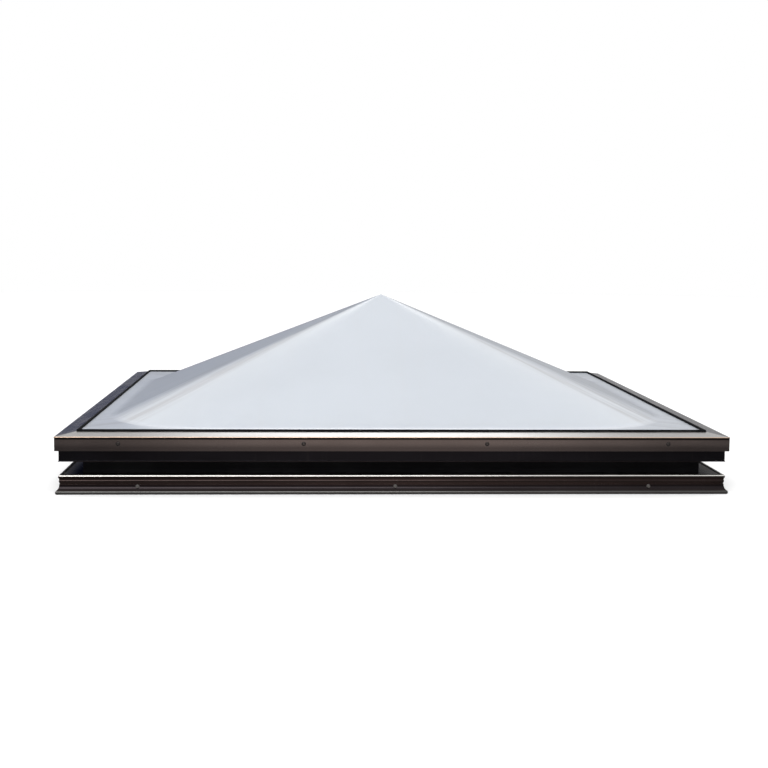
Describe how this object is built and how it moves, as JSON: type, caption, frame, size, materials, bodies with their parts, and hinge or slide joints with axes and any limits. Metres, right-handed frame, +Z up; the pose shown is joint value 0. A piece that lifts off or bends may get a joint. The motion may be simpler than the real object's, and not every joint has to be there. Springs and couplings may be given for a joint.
{
  "type": "pyramid skylight",
  "caption": "Square curb-mounted skylight: a translucent acrylic pyramid held in a mitred, thermally broken aluminium frame.",
  "frame": {"origin": "centre of the square footprint, on the lowest edge of the base rails", "axes": "+Z up, X and Y along the sides, with the side that the picture shows square on at -Y"},
  "size_m": [1.29, 1.29, 0.356],
  "materials": {
    "bronze_frame": "dark bronze anodised, satin",
    "thermal_break": "black extruded plastic",
    "glazing_tape": "black foam tape",
    "gasket": "black extruded rubber",
    "clear_acrylic": "clear, glossy",
    "white_acrylic": "milky white, translucent, glossy"
  },
  "bodies": {
    "root": {"base_front": "bronze_frame", "thermal_break_front": "thermal_break", "sash_front": "bronze_frame", "inner_tape_front": "glazing_tape", "spacer_tape_front": "glazing_tape", "cap_gasket_front": "gasket", "cap_front": "bronze_frame", "base_right": "bronze_frame", "thermal_break_right": "thermal_break", "sash_right": "bronze_frame", "inner_tape_right": "glazing_tape", "spacer_tape_right": "glazing_tape", "cap_gasket_right": "gasket", "cap_right": "bronze_frame", "base_back": "bronze_frame", "thermal_break_back": "thermal_break", "sash_back": "bronze_frame", "inner_tape_back": "glazing_tape", "spacer_tape_back": "glazing_tape", "cap_gasket_back": "gasket", "cap_back": "bronze_frame", "base_left": "bronze_frame", "thermal_break_left": "thermal_break", "sash_left": "bronze_frame", "inner_tape_left": "glazing_tape", "spacer_tape_left": "glazing_tape", "cap_gasket_left": "gasket", "cap_left": "bronze_frame", "inner_pyramid": "clear_acrylic", "outer_pyramid": "white_acrylic"}
  },
  "joints": []
}
